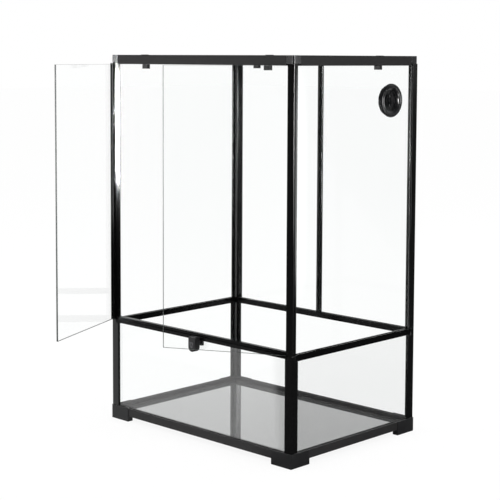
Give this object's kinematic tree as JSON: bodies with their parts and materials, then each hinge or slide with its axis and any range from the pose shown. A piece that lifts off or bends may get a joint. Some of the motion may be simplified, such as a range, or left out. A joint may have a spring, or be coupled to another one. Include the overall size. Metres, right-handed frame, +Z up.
{
  "type": "reptile terrarium",
  "caption": "Tall front-opening glass terrarium in a black frame, with two hinged glass doors over a deep glass base, a locked screen lid, a side vent and a door lock.",
  "frame": {"origin": "centre of the rectangular footprint of the frame, on the floor plane under the feet (the open doors stand in front of it)", "axes": "+Z up, -Y towards the front with the doors, +X to the right when facing the front"},
  "size_m": [0.613, 0.7129, 0.915],
  "materials": {
    "frame_plastic": "satin black extruded frame",
    "moulded_plastic": "fine-grained black moulding",
    "vent_plastic": "glossy black moulding",
    "clear_glass": "clear float glass with polished edges",
    "base_glass": "glass base painted black underneath",
    "silicone": "black silicone bead",
    "wire_mesh": "woven wire, powder coated black",
    "lock_metal": "dark plated metal"
  },
  "bodies": {
    "enclosure": {"base_panel": "base_glass", "bottom_rail_front": "frame_plastic", "bottom_rail_back": "frame_plastic", "bottom_rail_left": "frame_plastic", "bottom_rail_right": "frame_plastic", "foot_front_left": "moulded_plastic", "foot_front_right": "moulded_plastic", "foot_back_left": "moulded_plastic", "foot_back_right": "moulded_plastic", "lower_post_front_left": "frame_plastic", "lower_post_front_right": "frame_plastic", "lower_post_back_left": "frame_plastic", "lower_post_back_right": "frame_plastic", "lower_pane_front": "clear_glass", "lower_pane_back": "clear_glass", "lower_pane_left": "clear_glass", "lower_pane_right": "clear_glass", "mid_rail_front": "frame_plastic", "mid_rail_back": "frame_plastic", "mid_rail_left": "frame_plastic", "mid_rail_right": "frame_plastic", "upper_post_front_left": "frame_plastic", "upper_post_front_right": "frame_plastic", "upper_post_back_left": "frame_plastic", "upper_post_back_right": "frame_plastic", "back_centre_post": "frame_plastic", "upper_pane_left": "clear_glass", "upper_pane_right": "clear_glass", "upper_pane_back_left": "clear_glass", "upper_pane_back_right": "clear_glass", "top_rail_front": "frame_plastic", "top_rail_back": "frame_plastic", "top_rail_left": "frame_plastic", "top_rail_right": "frame_plastic", "top_corner_front_left": "moulded_plastic", "top_corner_front_right": "moulded_plastic", "top_corner_back_left": "moulded_plastic", "top_corner_back_right": "moulded_plastic", "glass_seals": "silicone", "vent_flange": "vent_plastic", "vent_nut": "vent_plastic", "lock_housing": "moulded_plastic", "lock_back_plate": "moulded_plastic"},
    "door_left": {"door_left_glass": "clear_glass", "door_left_strip": "frame_plastic"},
    "door_right": {"door_right_glass": "clear_glass", "door_right_strip": "frame_plastic"},
    "screen_lid": {"lid_rail_front": "frame_plastic", "lid_rail_back": "frame_plastic", "lid_rail_left": "frame_plastic", "lid_rail_right": "frame_plastic", "lid_mesh": "wire_mesh"},
    "lid_lock_front_left": {"lid_lock_front_left": "moulded_plastic"},
    "lid_lock_front_right": {"lid_lock_front_right": "moulded_plastic"},
    "lid_lock_back_left": {"lid_lock_back_left": "moulded_plastic"},
    "lid_lock_back_right": {"lid_lock_back_right": "moulded_plastic"},
    "door_lock_cylinder": {"lock_cylinder": "lock_metal"},
    "door_lock_bolt": {"lock_bolt": "lock_metal"},
    "vent_disc": {"vent_shutter": "vent_plastic"}
  },
  "joints": [
    {"name": "door_left_hinge", "type": "hinge", "parent": "enclosure", "child": "door_left", "pos_m": [-0.3015, -0.2165, 0.5], "axis": [0, 0, -1], "range_deg": [-66, 54]},
    {"name": "door_right_hinge", "type": "hinge", "parent": "enclosure", "child": "door_right", "pos_m": [0.3015, -0.2165, 0.5], "axis": [0, 0, 1], "range_deg": [-28, 92]},
    {"name": "lid_lift", "type": "slide", "parent": "enclosure", "child": "screen_lid", "axis": [0, 0, 1], "range_m": [0, 0.08]},
    {"name": "lid_lock_front_left_turn", "type": "hinge", "parent": "screen_lid", "child": "lid_lock_front_left", "pos_m": [-0.209, -0.195, 0.9], "axis": [0, 0, -1], "range_deg": [0, 90]},
    {"name": "lid_lock_front_right_turn", "type": "hinge", "parent": "screen_lid", "child": "lid_lock_front_right", "pos_m": [0.209, -0.195, 0.9], "axis": [0, 0, 1], "range_deg": [0, 90]},
    {"name": "lid_lock_back_left_turn", "type": "hinge", "parent": "screen_lid", "child": "lid_lock_back_left", "pos_m": [-0.209, 0.195, 0.9], "axis": [0, 0, 1], "range_deg": [0, 90]},
    {"name": "lid_lock_back_right_turn", "type": "hinge", "parent": "screen_lid", "child": "lid_lock_back_right", "pos_m": [0.209, 0.195, 0.9], "axis": [0, 0, -1], "range_deg": [0, 90]},
    {"name": "lock_turn", "type": "hinge", "parent": "enclosure", "child": "door_lock_cylinder", "pos_m": [0, -0.23, 0.235], "axis": [0, -1, 0], "range_deg": [0, 90]},
    {"name": "lock_bolt_rise", "type": "slide", "parent": "enclosure", "child": "door_lock_bolt", "axis": [0, 0, 1], "range_m": [0, 0.011]},
    {"name": "vent_turn", "type": "hinge", "parent": "enclosure", "child": "vent_disc", "pos_m": [0.297, 0.123, 0.8095], "axis": [1, 0, 0], "range_deg": [0, 30]}
  ],
  "couplings": [
    {"joint": "lock_turn", "follows": "lock_bolt_rise", "rad_per_m": 142.79}
  ]
}
